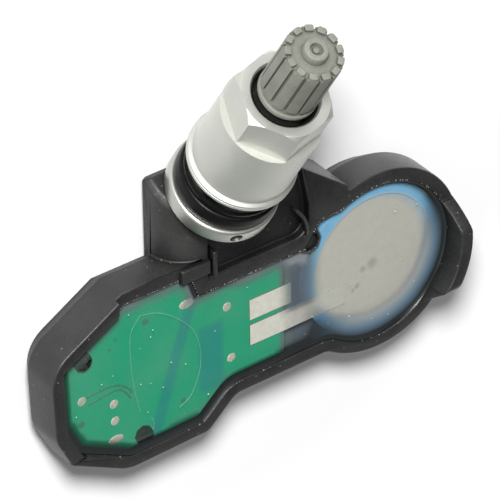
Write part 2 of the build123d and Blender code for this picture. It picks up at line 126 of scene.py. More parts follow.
# the place in mm, seen from above, and its two parts
def planInMm(tree, place):
    plan = addNode(tree, "Mapping", {"Vector": place, "Scale": (1000, 1000, 0)})
    return plan, addNode(tree, "SeparateXYZ", {"Vector": plan}).outputs


# 1 within a distance of a line across the axis, fading to 0 further out
def softBand(tree, value, middle, full, gone):
    offset = addNode(tree, "Math", {0: value, 1: middle}, operation="SUBTRACT")
    apart = addNode(tree, "Math", {0: offset}, operation="ABSOLUTE")
    return addNode(tree, "MapRange", {"Value": apart, "From Min": full, "From Max": gone,
            "To Min": 1.0, "To Max": 0.0}, **smooth)


# glass-filled nylon, spark-eroded mould: matt black with a fine sandy grain and a few pale specks, and painted shade in
# its creases and beside close parts
nylonGrain = {"grain": 0.3, "patch": 5.0, "speck": 1.7, "depth": 0.05, "crease": 4.0}   # mm
blackNylon, tree, shader, place = startMaterial("glass_filled_nylon", {"IOR": 1.53})
fine = addNode(tree, "TexNoise", {"Vector": place, "Scale": 1 / (nylonGrain["grain"] * mm), "Detail": 4.0,
        "Roughness": 0.65})
wide = addNode(tree, "TexNoise", {"Vector": place, "Scale": 1 / (nylonGrain["patch"] * mm), "Detail": 3.0})
both = addNode(tree, "Math", {0: fine, 1: wide}, operation="ADD")
tone = addNode(tree, "MapRange", {"Value": both, "From Min": 0.7, "From Max": 1.3})
mix = addNode(tree, "Mix", {0: tone, 6: "#0c0c0c", 7: "#242423"}, data_type="RGBA")
cells = addNode(tree, "TexVoronoi", {"Vector": place, "Scale": 1 / (nylonGrain["speck"] * mm)})
speck = addNode(tree, "MapRange", {"Value": cells, "From Min": 0.04, "From Max": 0.09, "To Min": 0.5, "To Max": 0.0})
dusted = addNode(tree, "Mix", {0: speck, 6: mix, 7: "#8f8e88"}, data_type="RGBA")
gloss = addNode(tree, "MapRange", {"Value": fine, "From Min": 0.3, "From Max": 0.7, "To Min": 0.38, "To Max": 0.58})
bump = addNode(tree, "Bump", {"Strength": 0.75, "Distance": nylonGrain["depth"] * mm, "Height": fine})
feed(shader, {"Base Color": dusted, "Roughness": gloss, "Normal": bump})
# painted shade: colour darkened and gloss dimmed within 4 mm of creases and close parts
shadeCreases(blackNylon, nylonGrain["crease"], "#050505", 0.5)

# solder mask on glass-epoxy board: even green, bluish where copper planes lie under it
boardMask = {"lean": -0.34, "stripe": (-34.6, 0.6, 1.5), "planeX": (-29.2, 1.6, 2.7), "planeY": (-5.0, 5.0, 6.4),
             "weave": 0.6, "end": (-17.3, -16.1)}   # mm; each band has its middle, then where it is full and gone
solderMask, tree, shader, place = startMaterial("solder_mask_green", {"IOR": 1.5, "Roughness": 0.45,
        "Specular IOR Level": 0.12})
plan, split = planInMm(tree, place)
lean = addNode(tree, "Math", {0: split["Y"], 1: boardMask["lean"], 2: split["X"]}, operation="MULTIPLY_ADD")
stripe = softBand(tree, lean, *boardMask["stripe"])
planeX = softBand(tree, split["X"], *boardMask["planeX"])
planeY = softBand(tree, split["Y"], *boardMask["planeY"])
plane = addNode(tree, "Math", {0: planeX, 1: planeY}, operation="MULTIPLY")
copper = addNode(tree, "Math", {0: stripe, 1: plane}, operation="MAXIMUM")
weave = addNode(tree, "TexNoise", {"Vector": place, "Scale": 1 / (boardMask["weave"] * mm), "Detail": 3.0})
tint = addNode(tree, "Mix", {0: weave, 6: "#0a8560", 7: "#11916a"}, data_type="RGBA")
toned = addNode(tree, "Mix", {0: copper, 6: tint, 7: "#0e7b6c"}, data_type="RGBA")
ending = addNode(tree, "MapRange", {"Value": split["X"], "From Min": boardMask["end"][0],
        "From Max": boardMask["end"][1]}, **smooth)
blurred = addNode(tree, "Mix", {0: ending, 6: toned, 7: "#475a5a"}, data_type="RGBA")
bump = addNode(tree, "Bump", {"Strength": 0.3, "Distance": 0.02 * mm, "Height": weave})
feed(shader, {"Base Color": blurred, "Normal": bump})

# aluminium off the lathe: anodised pale satin on the nut; bright turned on the stem, with clearer reflections
turned = {"ring": 0.35, "grain": 0.22, "cloud": 6.0, "depth": 0.012}   # mm, drawn coarser than real so that it shows
waveStep = 0.314   # a wave texture of scale 1 repeats at this distance
aluminium = []
for name, tones, rough in (("satin_anodised_aluminium", ("#b3b4ae", "#c1c2bc"), (0.5, 0.6)),
        ("turned_aluminium", ("#a6a7a1", "#b8b9b3"), (0.34, 0.44))):
    material, tree, shader, place = startMaterial(name, {"Metallic": 1.0})
    upright = addNode(tree, "Mapping", {"Vector": place, "Location": valveFoot, "Rotation": (valveTurn, 0, 0)},
                      vector_type="TEXTURE")
    rings = addNode(tree, "TexWave", {"Vector": upright, "Scale": waveStep / (turned["ring"] * mm), "Distortion": 1.5,
            "Detail": 2.0}, bands_direction="Z").outputs["Fac"]
    grit = addNode(tree, "TexNoise", {"Vector": upright, "Scale": 1 / (turned["grain"] * mm), "Detail": 3.0})
    cloud = addNode(tree, "TexNoise", {"Vector": upright, "Scale": 1 / (turned["cloud"] * mm), "Detail": 2.0})
    shade = addNode(tree, "Mix", {0: cloud, 6: tones[0], 7: tones[1]}, data_type="RGBA")
    gloss = addNode(tree, "MapRange", {"Value": grit, "From Min": 0.3, "From Max": 0.7,
            "To Min": rough[0], "To Max": rough[1]})
    relief = addNode(tree, "Math", {0: rings, 1: 0.35, 2: grit}, operation="MULTIPLY_ADD")
    bump = addNode(tree, "Bump", {"Strength": 0.22, "Distance": turned["depth"] * mm, "Height": relief})
    feed(shader, {"Base Color": shade, "Roughness": gloss, "Normal": bump})
    aluminium.append(material)
satinAluminium, turnedAluminium = aluminium

# the rest differ in colour, grain (mm) and gloss only
sealRubber = grainMaterial("moulded_rubber", ("#070707", "#0e0e0d"), 0.25, (0.3, 0.4),
        {"IOR": 1.52, "Specular IOR Level": 0.1}, 0.01)   # deep soft black
hardPlastic = grainMaterial("black_acetal", ("#070707", "#0f0f0e"), 0.3, (0.22, 0.32),
        {"IOR": 1.48, "Specular IOR Level": 0.08}, 0.01)   # deep black, tighter gleam
capPlastic = grainMaterial("grey_polypropylene", ("#686961", "#7a7b72"), 0.3, (0.5, 0.64),
        {"IOR": 1.49, "Specular IOR Level": 0.3})   # waxy warm grey, with painted shade between the ribs
shadeCreases(capPlastic, 1.0, "#32332e")
resinSkin = grainMaterial("resin_skin", ("#7fb9a5", "#a9d2c3"), 0.5, (0.3, 0.45),
        {"IOR": 1.52, "Alpha": 0.15}, 0.01)   # faint pale line
metal = {"Metallic": 1.0}
tinnedCopper = grainMaterial("tinned_copper", ("#bdb9a4", "#e0dccb"), 0.4, (0.3, 0.5), {"Metallic": 0.6})   # pale cream
crystalCan = grainMaterial("drawn_crystal_can", ("#a5a6a2", "#c3c4c0"), 0.4, (0.22, 0.34), metal, 0.01)   # bright grey
turnedBrass = grainMaterial("turned_brass", ("#a98637", "#c6a353"), 0.3, (0.24, 0.36), metal, 0.01)   # satin yellow
zincSteel = grainMaterial("zinc_plated_steel", ("#85878a", "#a3a5a6"), 0.4, (0.25, 0.4), metal, 0.015)   # cool grey
chipMould = grainMaterial("epoxy_chip_mould", ("#161718", "#232425"), 0.25, (0.5, 0.65), {"IOR": 1.55})   # charcoal
woundFerrite = grainMaterial("wound_ferrite", ("#241f1d", "#3a3029"), 0.3, (0.4, 0.6), {"IOR": 1.6})   # dark brown
firedCeramic = grainMaterial("fired_ceramic", ("#a2855f", "#bea583"), 0.3, (0.4, 0.55), {"IOR": 1.6})   # dull tan
burrGlint = grainMaterial("nylon_burr_glint", ("#4a4a48", "#8c8c89"), 0.3, (0.5, 0.7), {"IOR": 1.53})   # pale, a painted glint on the burrs
paleDust = grainMaterial("pale_dust", ("#8fb8a8", "#dfe6e2"), 0.3, (0.5, 0.7), {"IOR": 1.45})   # pin-points of light
maskedCopper = grainMaterial("mask_over_copper", ("#1f6049", "#2b7259"), 0.4, (0.35, 0.5),
        {"IOR": 1.5}, 0.01)   # dark green

# nickel-plated cell can under resin: dull warm grey with darker spot-weld smudges, blue where the film's fold blurs
blurEdge = {"film": 10.5, "outer": 12.5, "left": -4.0, "right": 9.0}   # mm: the fold's radii, where the blur widens
underResin = {"can": 1.2, "film": 1.6, "strip": 0.9}   # mm: cloudy patches
weldSpots = ((0.2, -1.1, 1.5), (-1.5, -1.5, 0.9), (-2.6, -4.0, 0.8), (-3.4, -4.5, 0.6),
             (-5.7, -3.9, 0.9))   # mm: x, y, reach
cellCan, tree, shader, place = startMaterial("nickel_plated_can", {"Metallic": 0.15, "Roughness": 0.5})
plan, split = planInMm(tree, place)
cloud = addNode(tree, "TexNoise", {"Vector": place, "Scale": 1 / (underResin["can"] * mm), "Detail": 4.0})
soil = None
for x, y, reach in weldSpots:
    away = addNode(tree, "VectorMath", {0: plan, 1: (x, y, 0)}, operation="DISTANCE")
    dark = addNode(tree, "MapRange", {"Value": away, "From Max": reach, "To Min": 0.75, "To Max": 0.0}, **smooth)
    soil = dark if soil is None else addNode(tree, "Math", {0: soil, 1: dark}, operation="MAXIMUM")
spread = addNode(tree, "Math", {0: soil, 1: cloud}, operation="MULTIPLY")
base = addNode(tree, "Mix", {0: cloud, 6: "#a9a69c", 7: "#b7b4ab"}, data_type="RGBA")
face = addNode(tree, "Mix", {0: spread, 6: base, 7: "#55544f"}, data_type="RGBA")
away = addNode(tree, "VectorMath", {0: plan}, operation="LENGTH")
start = addNode(tree, "MapRange", {"Value": split["X"], "From Min": blurEdge["left"], "From Max": blurEdge["right"],
        "To Min": blurEdge["film"] - 0.5, "To Max": blurEdge["film"] - 1.6}, **smooth)
toFilm = addNode(tree, "MapRange", {"Value": away, "From Min": start, "From Max": blurEdge["film"] + 0.1,
        "To Max": 0.55})
lid = addNode(tree, "Mix", {0: toFilm, 6: face, 7: "#6d9ab9"}, data_type="RGBA")
bump = addNode(tree, "Bump", {"Strength": 0.3, "Distance": 0.03 * mm, "Height": cloud})
feed(shader, {"Base Color": lid, "Normal": bump})

# blue shrink film over the cell's edge: soft blue, its borders washed out by the resin, and a painted shadow on its
# outer brim towards the right
blueFilm, tree, shader, place = startMaterial("blue_shrink_film", {"IOR": 1.5, "Roughness": 0.36})
plan, split = planInMm(tree, place)
away = addNode(tree, "VectorMath", {0: plan}, operation="LENGTH")
cloud = addNode(tree, "TexNoise", {"Vector": place, "Scale": 1 / (underResin["film"] * mm), "Detail": 3.0})
base = addNode(tree, "Mix", {0: cloud, 6: "#5a96bd", 7: "#72aacb"}, data_type="RGBA")
toCell = addNode(tree, "MapRange", {"Value": away, "From Min": blurEdge["film"] - 0.1,
        "From Max": blurEdge["film"] + 0.7, "To Min": 0.5, "To Max": 0.0}, **smooth)
fold = addNode(tree, "Mix", {0: toCell, 6: base, 7: "#a9a9a3"}, data_type="RGBA")
# painted shadow: the outer brim goes dark blue-grey, more so towards the right
side = addNode(tree, "MapRange", {"Value": split["X"], "From Min": blurEdge["left"],
        "From Max": blurEdge["right"]}, **smooth)
brim = addNode(tree, "MapRange", {"Value": away, "From Min": blurEdge["outer"] - 1.2,
        "From Max": blurEdge["outer"]}, **smooth)
shadow = addNode(tree, "Math", {0: side, 1: brim}, operation="MULTIPLY")
film = addNode(tree, "Mix", {0: shadow, 6: fold, 7: "#2a3942"}, data_type="RGBA")
feed(shader, {"Base Color": film})

# nickel strip, rolled and spot-welded: pale cream grey, dulled by the resin where it runs on to the cell, its side
# faces darker as painted shade
nickelStrip, tree, shader, place = startMaterial("nickel_strip", {"Specular IOR Level": 0.3, "Roughness": 0.5})
plan, split = planInMm(tree, place)
onFace = addNode(tree, "MapRange", {"Value": split["X"], "From Min": -14.5, "From Max": -9.5}, **smooth)
cloud = addNode(tree, "TexNoise", {"Vector": place, "Scale": 1 / (underResin["strip"] * mm), "Detail": 4.0})
bright = addNode(tree, "Mix", {0: cloud, 6: "#b5b2a6", 7: "#d3d0c6"}, data_type="RGBA")
dull = addNode(tree, "Mix", {0: cloud, 6: "#a4a299", 7: "#b0aea5"}, data_type="RGBA")
face = addNode(tree, "Mix", {0: onFace, 6: bright, 7: dull}, data_type="RGBA")
bump = addNode(tree, "Bump", {"Strength": 0.4, "Distance": 0.04 * mm, "Height": cloud})
# painted shade: faces that don't face up get the darker cut colour
turnedTo = addNode(tree, "NewGeometry").outputs["Normal"]
upward = addNode(tree, "SeparateXYZ", {"Vector": turnedTo}).outputs["Z"]
onTop = addNode(tree, "MapRange", {"Value": upward, "From Min": 0.3, "From Max": 0.8})
cut = addNode(tree, "Mix", {0: onFace, 6: "#5f5d57", 7: "#8f8d86"}, data_type="RGBA")
strip = addNode(tree, "Mix", {0: onTop, 6: cut, 7: face}, data_type="RGBA")
feed(shader, {"Base Color": strip, "Normal": bump})

# casting resin: nearly clear, milky in depth; it blurs the blue film, with painted shade towards the walls and beyond
# the film's brim on the low side
resinHaze = {"cloud": 7.0, "lowWay": (0.47, -0.88, 0), "push": 3.0, "valley": (-13.6, 1.0, 4.4),
             "strip": (-4.2, 1.2, 2.3)}   # mm
castResin, tree, shader, place = startMaterial("milky_casting_resin", {"IOR": 1.52, "Roughness": 0.3,
        "Specular IOR Level": 0.35})
plan, split = planInMm(tree, place)
wall, wet = [addNode(tree, "Attribute", attribute_name=label).outputs["Fac"] for label in ("nearWall", "wetEdge")]
haze = addNode(tree, "TexNoise", {"Vector": place, "Scale": 1 / (resinHaze["cloud"] * mm), "Detail": 2.0})
away = addNode(tree, "VectorMath", {0: plan}, operation="LENGTH")
across = addNode(tree, "VectorMath", {0: plan, 1: resinHaze["lowWay"]}, operation="DOT_PRODUCT")
lowSide = addNode(tree, "MapRange", {"Value": across, "From Min": -6.0, "From Max": 8.0}, **smooth)
reach = addNode(tree, "Math", {0: lowSide, 1: resinHaze["push"], 2: away}, operation="MULTIPLY_ADD")
rimBlur = addNode(tree, "MapRange", {"Value": reach, "From Min": 10.4, "From Max": 12.8}, **smooth)
onCell = addNode(tree, "MapRange", {"Value": split["X"], "From Min": -14.5, "From Max": -9.0}, **smooth)
blueLow = addNode(tree, "Math", {0: rimBlur, 1: lowSide}, operation="MULTIPLY")
blue = addNode(tree, "Math", {0: blueLow, 1: onCell}, operation="MULTIPLY")
# painted shade by the walls, as strong as the nearWall attribute
dark = addNode(tree, "MapRange", {"Value": wall, "From Max": 0.9}, **smooth)
valley = softBand(tree, split["X"], *resinHaze["valley"])
onStrip = softBand(tree, split["Y"], *resinHaze["strip"])
offStrip = addNode(tree, "MapRange", {"Value": onStrip, "To Min": 1.0, "To Max": 0.2})
valleyVeil = addNode(tree, "Math", {0: valley, 1: offStrip}, operation="MULTIPLY")
# the film's blue blurred through the resin, going over to painted shade further out on the low side
fogAt = addNode(tree, "MapRange", {"Value": away, "From Min": 8.0, "From Max": 15.0})
blurToShade = addNode(tree, "ValToRGB", {"Fac": fogAt})
blurToShade.color_ramp.elements[0].color = linear("#a09f99")
blurToShade.color_ramp.elements[1].color = linear("#1f2324")
for share, tone in ((0.28, "#7b8689"), (0.45, "#566b7c"), (0.6, "#333f47")):
    blurToShade.color_ramp.elements.new(share).color = linear(tone)
milk = addNode(tree, "Mix", {0: haze, 6: "#7a9a8e", 7: "#a0b4ab"}, data_type="RGBA")
cover = addNode(tree, "MapRange", {"Value": haze, "From Min": 0.3, "From Max": 0.7, "To Min": 0.06, "To Max": 0.11})
# each layer: where it tints and how fast, its colour, where it veils and how much it hides
for tinted, gain, colour, veil, share in ((valley, 1.0, "#58616a", valleyVeil, 0.62), (blue, 4.0, blurToShade, blue, 0.97),
        (wet, 3.0, "#747b7f", wet, 0.75), (dark, 3.0, "#1d2122", dark, 0.9)):
    amount = addNode(tree, "Math", {0: tinted, 1: gain}, operation="MULTIPLY", use_clamp=True)
    milk = addNode(tree, "Mix", {0: amount, 6: milk, 7: colour}, data_type="RGBA")
    cover = addNode(tree, "Math", {0: veil, 1: share, 2: cover}, operation="MULTIPLY_ADD")
cover.use_clamp = True
ripple = addNode(tree, "Bump", {"Strength": 0.25, "Distance": 0.1 * mm, "Height": haze})
feed(shader, {"Base Color": milk, "Alpha": cover, "Normal": ripple})
print("materials ready")


def newObject(name, data):
    made = bpy.data.objects.new(name, data)
    scene.collection.objects.link(made)
    return made


def pieceObject(name, mesh, material):
    made = newObject(name, mesh)
    mesh.materials.clear()
    mesh.materials.append(material)
    return made


def softShade(mesh, sharpest):
    mesh.shade_smooth()
    mesh.set_sharp_from_angle(angle=math.radians(sharpest))


# modifiers into a plain mesh
def settle(piece):
    view = bpy.context.evaluated_depsgraph_get()
    mesh = bpy.data.meshes.new_from_object(piece.evaluated_get(view))
    piece.modifiers.clear()
    piece.data = mesh
    return mesh


def easeEdges(piece, width, segments, sharpest=40):
    bevel = piece.modifiers.new("edge", "BEVEL")
    bevel.width = width * mm
    bevel.segments = segments
    bevel.limit_method = "ANGLE"
    bevel.angle_limit = math.radians(30)
    bevel.use_clamp_overlap = False
    bevel.miter_outer = "MITER_ARC"
    softShade(settle(piece), sharpest)


# cuts a closed mesh out of a piece
def carve(piece, mesh):
    cutter = newObject(mesh.name, mesh)
    cut = piece.modifiers.new("cut", "BOOLEAN")
    cut.operation = "DIFFERENCE"
    cut.solver = "EXACT"
    cut.object = cutter
    settle(piece)
    bpy.data.objects.remove(cutter)


# merges a mesh into one closed skin with its flat faces joined up
def joinFlats(source, target=None, gap=weldGap):
    target = target or bpy.data.meshes.new(source.name)
    shape = bmesh.new()
    shape.from_mesh(source)
    bmesh.ops.remove_doubles(shape, verts=shape.verts, dist=gap)
    bmesh.ops.dissolve_limit(shape, angle_limit=math.radians(0.5), verts=shape.verts, edges=shape.edges)
    shape.to_mesh(target)
    shape.free()
    return target


# a bmesh into a mesh, its faces turned outwards
def meshFrom(shape, name):
    bmesh.ops.recalc_face_normals(shape, faces=shape.faces)
    mesh = bpy.data.meshes.new(name)
    shape.to_mesh(mesh)
    shape.free()
    return mesh


# closed bodies, each skinned over a row of equal rings of points in mm
def loft(*bodies):
    shape = bmesh.new()
    for rings in bodies:
        rows = [[shape.verts.new([c * mm for c in point]) for point in ring] for ring in rings]
        shape.faces.new(rows[0])
        shape.faces.new(rows[-1])
        for lower, upper in zip(rows, rows[1:]):
            for k in range(len(lower)):
                shape.faces.new((lower[k - 1], lower[k], upper[k], upper[k - 1]))
    bmesh.ops.recalc_face_normals(shape, faces=shape.faces)
    return shape


def hand(piece, body, slot, *stands):
    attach(piece, body)
    if stands:
        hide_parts(*stands)


# corner points (across, along, radius) to a line with round corners
def roundCorners(points, steps=4):
    line = []
    for i, (x, y, radius) in enumerate(points):
        here = Vector((x, y))
        before = Vector(points[i - 1][:2]) - here
        after = Vector(points[(i + 1) % len(points)][:2]) - here
        if radius <= 0 or before.length < 1e-6 or after.length < 1e-6:
            line.append(here)
            continue
        before.normalize()
        after.normalize()
        half = before.angle(after) / 2
        reach = radius / math.tan(half)
        centre = here + (before + after).normalized() * (radius / math.sin(half))
        start = here + before * reach - centre
        turn = start.angle_signed(here + after * reach - centre)
        line += [centre + Matrix.Rotation(-turn * k / steps, 2) @ start for k in range(steps + 1)]
    return line


# turns a closed profile (radius, height, rounding) round the valve's axis; points on the axis close the poles
def turnMesh(name, profile, segments=128):
    line = roundCorners(profile)
    shape = bmesh.new()
    rows = []
    for k in range(segments):
        a = 2 * math.pi * k / segments
        c, s = math.cos(a), math.sin(a)
        rows.append([shape.verts.new((p.x * c * mm, p.x * s * mm, p.y * mm)) for p in line])
    for k in range(segments):
        a, b = rows[k], rows[(k + 1) % segments]
        for i in range(len(line)):
            j = (i + 1) % len(line)
            if line[i].x > 1e-6 or line[j].x > 1e-6:
                shape.faces.new((a[i], b[i], b[j], a[j]))
    bmesh.ops.remove_doubles(shape, verts=shape.verts, dist=1e-7)
    bmesh.ops.dissolve_degenerate(shape, edges=shape.edges, dist=1e-7)
    return meshFrom(shape, name)


def layOnValve(piece, sharpest, start=0):
    piece.data.transform(valvePlace @ Matrix.Translation((0, 0, start * mm)))
    softShade(piece.data, sharpest)


# a Geometry Nodes tree with named inputs, the finish among them
def startTree(name, **inputs):
    tree = bpy.data.node_groups.new(name, "GeometryNodeTree")
    for label, kind in {**inputs, "Finish": "Material"}.items():
        tree.interface.new_socket(label, in_out="INPUT", socket_type="NodeSocket" + kind)
    tree.interface.new_socket("Geometry", in_out="OUTPUT", socket_type="NodeSocketGeometry")
    return tree, addNode(tree, "NodeGroupInput").outputs


def closeTree(tree, grown, given):
    solid = addNode(tree, "GeometryNodeRealizeInstances", {0: grown})
    finished = addNode(tree, "GeometryNodeSetMaterial", {"Geometry": solid, "Material": given["Finish"]})
    addNode(tree, "NodeGroupOutput", {"Geometry": finished})
    return tree


# runs a tree on a mesh and keeps the plain result
def growMesh(name, tree, base, values):
    holder = newObject(name, base)
    grower = holder.modifiers.new("grow", "NODES")
    grower.node_group = tree
    for item in tree.interface.items_tree:
        if item.item_type == "SOCKET" and item.in_out == "INPUT" and item.name in values:
            grower[item.identifier] = values[item.name]
    settle(holder)
    return holder


# CAD nodes whose shape is right only get their finish
for nodeName, finish in {"circuit_board": solderMask, "sensor_chip": chipMould, "port_gasket": sealRubber,
        "crystal": crystalCan, "lf_coil": woundFerrite, "chip_capacitors": firedCeramic,
        "battery_cell": cellCan, "battery_sleeve": blueFilm, "battery_tab_top": nickelStrip,
        "battery_tab_bottom": nickelStrip, "valve_core": turnedBrass, "core_pin": turnedBrass,
        "cap_seal": sealRubber}.items():
    for holder in nodes[nodeName].material_slots:
        holder.material = finish
print("CAD nodes dressed")

# housing: the moulding with its edges eased and its left corner rounded, down the back bevel too
housingEase = {"edge": 0.28, "corner": (-58.8, 6.0), "beside": ((-58.3, -6.4), (-45.6, 13.6)), "round": 5.5,
               "bevelIn": 2.1, "bevelUp": 3.2, "below": -1.0, "above": 12.0, "past": 6.0, "weld": 0.02}   # mm
housing = pieceObject("tray_moulding", joinFlats(nodes["housing"].data), blackNylon)
tip = Vector(housingEase["corner"])
sideA, sideB = housingEase["beside"]
bow = roundCorners([(*sideA, 0), (*tip, housingEase["round"]), (*sideB, 0)], 12)[1:-1]
legA, legB = [(Vector(p) - tip).normalized() for p in (sideA, sideB)]
towards = (legA + legB).normalized()
tilt = housingEase["bevelIn"] / housingEase["bevelUp"] / math.sin(legA.angle(legB) / 2)
rings = []
for z in (housingEase["below"], housingEase["bevelUp"], housingEase["above"]):
    slip = towards * tilt * max(0, housingEase["bevelUp"] - z)
    rings.append([(*(q + slip), z) for q in bow + [tip - towards * housingEase["past"]]])
carve(housing, meshFrom(loft(rings), "cornerCut"))
joinFlats(housing.data, housing.data, housingEase["weld"] * mm)
easeEdges(housing, housingEase["edge"], 3)
hand(housing, "sensor", "black_nylon", "housing")

# snap bar on the rim beside the fin, drafted on all sides
snapBar = {"low": (-35.4, 10.7), "high": (-30.0, 13.3), "base": 8.2, "rise": 0.85, "draft": 0.25, "ease": 0.15}   # mm
(x0, y0), (x1, y1) = snapBar["low"], snapBar["high"]
rings = [[(x0 + d, y0 + d, z), (x1 - d, y0 + d, z), (x1 - d, y1 - d, z), (x0 + d, y1 - d, z)]
         for z, d in ((snapBar["base"], 0), (snapBar["base"] + snapBar["rise"], snapBar["draft"]))]
bar = pieceObject("snap_bar", meshFrom(loft(rings), "snapBar"), blackNylon)
easeEdges(bar, snapBar["ease"], 3)
hand(bar, "sensor", "black_nylon")
print("tray", len(housing.data.polygons), "faces")

# curved gusset blade between the rim and the tower's shoulder, tapering to its foot
gusset = {"line": ((-15.3, 15.9), (-14.6, 15.1), (-13.8, 13.9), (-13.2, 12.6), (-12.8, 11.2), (-12.6, 9.9)),
          "thick": 0.55, "base": 8.2, "high": 10.0, "foot": 8.75, "taper": 1.4, "ease": 0.12}   # mm
spine = [Vector(p) for p in gusset["line"]]
last = len(spine) - 1
rings = []
for k, q in enumerate(spine):
    along = (spine[min(k + 1, last)] - spine[max(k - 1, 0)]).normalized()
    off = Vector((-along.y, along.x)) * gusset["thick"] / 2
    crest = gusset["high"] + (gusset["foot"] - gusset["high"]) * (k / last) ** gusset["taper"]
    rings.append([(*(q + off), gusset["base"]), (*(q - off), gusset["base"]), (*(q - off), crest), (*(q + off), crest)])
blade = pieceObject("gusset_blade", meshFrom(loft(rings), "gussetBlade"), blackNylon)
easeEdges(blade, gusset["ease"], 2)
hand(blade, "sensor", "black_nylon")

# resin: the cast filling, drawn up a little and unevenly where it wets the wall
resinPool = {"climb": 0.42, "fall": 0.34, "rows": (0.1, 0.25, 0.5, 0.9, 1.5), "step": 0.4, "mesh": 1.2, "clear": 2.2,
             "from": (-60, -20), "span": (80, 40),
             "fade": 0.9, "upFade": 0.7, "low": 1.4, "left": 1.3, "wet": 2.4, "cellSide": -12.0}   # mm
resinWaves = {"climb": 160, "wet": 260}   # per m
shape = bmesh.new()
shape.from_mesh(nodes["potting"].data)
bmesh.ops.remove_doubles(shape, verts=shape.verts, dist=weldGap)
resinTop = max(v.co.z for v in shape.verts)
resinLow = min(v.co.z for v in shape.verts)
flat = {f for f in shape.faces if all(abs(v.co.z - resinTop) < 1e-6 for v in f.verts)}
nextTo = {}
for e in shape.edges:
    if sum(f in flat for f in e.link_faces) == 1:
        for v in e.verts:
            nextTo.setdefault(v, []).append(e.other_vert(v))
loops, seen = [], set()
for start in nextTo:
    loop, here, last = [], start, None
    while here not in seen:
        seen.add(here)
        loop.append(here.co.xy)
        last, here = here, [v for v in nextTo[here] if v is not last][0]
    if loop:
        loops.append(loop)
corners = max(loops, key=lambda loop: max(p.x for p in loop) - min(p.x for p in loop))
shape.free()
if sum(a.cross(b) for a, b in zip(corners, corners[1:] + corners[:1])) < 0:
    corners.reverse()
wallLine = []
for a, b in zip(corners, corners[1:] + corners[:1]):
    count = max(1, round((b - a).length / (resinPool["step"] * mm)))
    wallLine += [a.lerp(b, k / count) for k in range(count)]
wallTree = KDTree(len(wallLine))
for i, p in enumerate(wallLine):
    wallTree.insert((p.x, p.y, 0), i)
wallTree.balance()
inward = []
for i in range(len(wallLine)):
    along = (wallLine[(i + 1) % len(wallLine)] - wallLine[i - 1]).normalized()
    inward.append(Vector((-along.y, along.x)))


# whether a point lies inside the wall, at least this far from it
def wellInside(q, clear):
    spot, nearest, away = wallTree.find((q.x, q.y, 0))
    return away > clear * mm and (q - wallLine[nearest]).dot(inward[nearest]) > 0


inside = []
for p, across in zip(wallLine, inward):
    for row in resinPool["rows"]:
        q = p + across * row * mm
        if wallTree.find((q.x, q.y, 0))[2] > 0.96 * row * mm:   # a row that no other wall comes near
            inside.append(q)
meshStep = resinPool["mesh"]
(fromX, fromY), (length, width) = resinPool["from"], resinPool["span"]
for column in range(int(length / meshStep)):
    for row in range(int(width / meshStep)):
        q = Vector(((fromX + column * meshStep) * mm, (fromY + row * meshStep) * mm))
        if wellInside(q, resinPool["clear"]):
            inside.append(q)
flatMesh = delaunay_2d_cdt(wallLine + inside, [], [list(range(len(wallLine)))], 1, 1e-7)
shape = bmesh.new()
layers = shape.verts.layers.float
for label in ("nearWall", "wetEdge"):
    layers.new(label)
nearWall, wetEdge = layers["nearWall"], layers["wetEdge"]
skin = []
for p in flatMesh[0]:
    spot, i, away = wallTree.find((p.x, p.y, 0))
    away /= mm
    boardSide = p.x < resinPool["cellSide"] * mm
    upper = boardSide and inward[i].y < -0.2   # along the tower's wall
    # the painted shade by the walls reaches further along the low and left walls
    wider = resinPool["low"] * max(0, inward[i].y) + resinPool["left"] * max(0, inward[i].x)
    fade = resinPool["upFade"] if upper else resinPool["fade"] + (wider if boardSide else 0)
    climb, wet = [noise.noise((p.x * waves, p.y * waves, height)) for waves, height in
                  ((resinWaves["climb"], 0), (resinWaves["wet"], 3))]
    rise = resinPool["climb"] * mm * max(0.25, 0.75 + 0.9 * climb) * math.exp(-away / resinPool["fall"])
    v = shape.verts.new((p.x, p.y, resinTop + rise))
    v[wetEdge] = max(0.0, 1.0 - away / resinPool["wet"]) * (0.8 + 0.8 * wet) if upper else 0.0
    v[nearWall] = max(0.0, 1.0 - away / fade)
    skin.append(v)
for face in flatMesh[2]:
    shape.faces.new([skin[i] for i in face])
edge = [e for e in shape.edges if len(e.link_faces) == 1]
for v in bmesh.ops.extrude_edge_only(shape, edges=edge)["geom"]:
    if isinstance(v, bmesh.types.BMVert):
        v.co.z = resinLow
        v[nearWall] = 1.0
bmesh.ops.holes_fill(shape, edges=[e for e in shape.edges if len(e.link_faces) == 1], sides=0)
resin = pieceObject("resin_filling", meshFrom(shape, "resin"), castResin)
softShade(resin.data, 50)
hand(resin, "sensor", "potting_resin", "potting")
print("resin", len(resin.data.polygons), "faces")

# valve stem: flange, shank, mouth and bores turned in one, with the tommy-bar hole cut in the flange
stemTurning = {"flangeRadius": 8.35, "flangeHeight": 2.9, "holeAngle": 252.5, "holeRadius": 0.95,
               "holeDepth": 3.4}   # mm, degrees
r, h = stemTurning["flangeRadius"], stemTurning["flangeHeight"]
stemProfile = [(2.0, 0, 0), (r, 0, 0.35), (r, h, 0.4), (4.6, h, 0), (4.6, 12.2, 0), (4.55, 12.5, 0), (4.55, 21.4, 0),
               (4.4, 21.7, 0), (3.87, 22.2, 0), (3.87, 31.0, 0), (3.5, 31.4, 0), (3.5, 39.3, 0), (3.3, 39.8, 0.1),
               (2.6, 39.8, 0.1), (2.4, 39.4, 0), (2.4, 2.65, 0), (2.0, 2.65, 0)]
stem = pieceObject("stem_turning", turnMesh("stem", stemProfile), turnedAluminium)
turn = math.radians(stemTurning["holeAngle"])
out = Vector((math.cos(turn), math.sin(turn), 0))
seat = Matrix.Translation((out * r + Vector((0, 0, h / 2))) * mm) @ out.to_track_quat("Z", "Y").to_matrix().to_4x4()
shape = bmesh.new()
